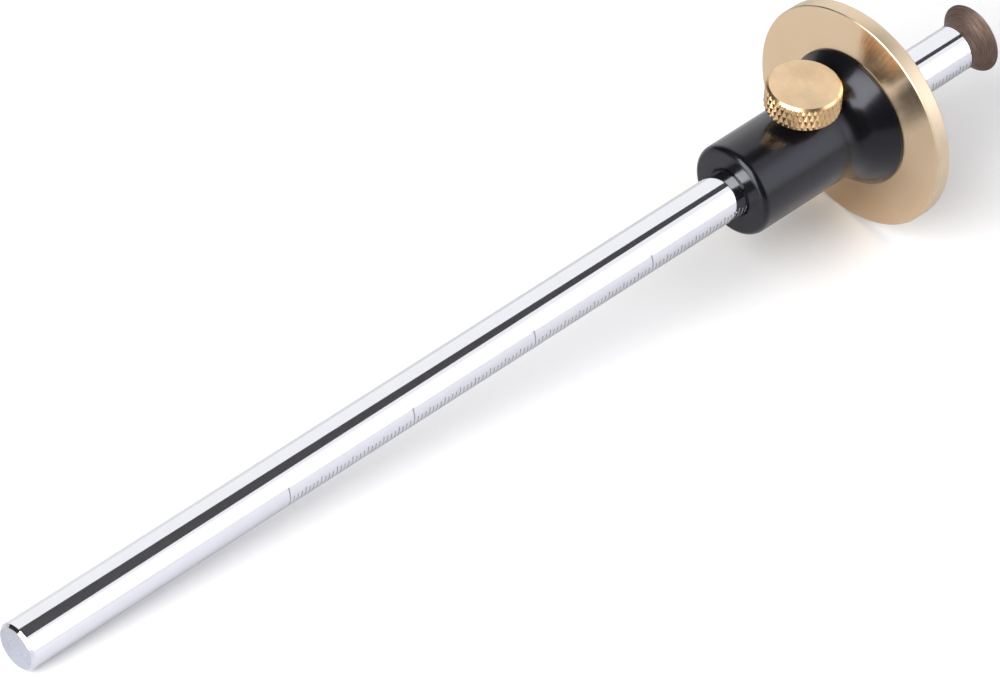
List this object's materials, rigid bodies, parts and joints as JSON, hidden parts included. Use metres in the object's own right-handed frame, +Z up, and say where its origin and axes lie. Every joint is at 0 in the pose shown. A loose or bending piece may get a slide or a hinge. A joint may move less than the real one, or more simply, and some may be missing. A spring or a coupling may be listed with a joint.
{
  "type": "marking gauge",
  "caption": "Wheel marking gauge: round graduated steel beam with a disc cutter on its end, and a sliding collar with a round brass fence, clamped by a knurled thumb screw.",
  "frame": {"origin": "on the ground under the middle of the tool's box, the tool lying on its fence's edge and its beam's free end", "axes": "+Z up, +X along the tool from the beam's free end to the cutter, clamp screw on top in the XZ plane; the beam rises 5.13 degrees towards +X"},
  "size_m": [0.2032, 0.0392, 0.0394],
  "materials": {
    "polished_beam": "mirror polished plated steel",
    "cutter_steel": "ground, heat-tinted brown",
    "screw_steel": "black oxide",
    "black_collar": "black anodised, semi-gloss",
    "brass": "turned satin",
    "nylon": "natural",
    "ring_rubber": "matt"
  },
  "bodies": {
    "beam": {"beam_rod": "polished_beam", "cutter_screw": "screw_steel"},
    "cutter": {"cutter_wheel": "cutter_steel"},
    "drag_rings": {"front_drag_ring": "ring_rubber", "rear_drag_ring": "ring_rubber"},
    "head": {"fence_collar": "black_collar", "fence_disc": "brass"},
    "clamp_pad": {"pressure_pad": "nylon"},
    "thumb": {"clamp_screw": "brass"}
  },
  "joints": [
    {"name": "head_slide", "type": "slide", "parent": "beam", "child": "drag_rings", "axis": [0.996, 0, 0.0894], "range_m": [-0.14, 0.026]},
    {"name": "head_turn", "type": "hinge", "parent": "drag_rings", "child": "head", "pos_m": [-0.00173, 0, 0.01289], "axis": [0.996, 0, 0.0894], "continuous": true},
    {"name": "pad_press", "type": "slide", "parent": "head", "child": "clamp_pad", "axis": [-0.0894, 0, 0.996], "range_m": [0, 0.0016]},
    {"name": "clamp_turn", "type": "hinge", "parent": "clamp_pad", "child": "thumb", "pos_m": [0.06001, 0, 0.02646], "axis": [-0.0894, 0, 0.996], "range_deg": [0, 720]},
    {"name": "cutter_turn", "type": "hinge", "parent": "beam", "child": "cutter", "pos_m": [-0.00173, 0, 0.01289], "axis": [0.996, 0, 0.0894], "continuous": true}
  ],
  "couplings": [
    {"joint": "pad_press", "follows": "clamp_turn", "m_per_rad": 0.00012732}
  ]
}
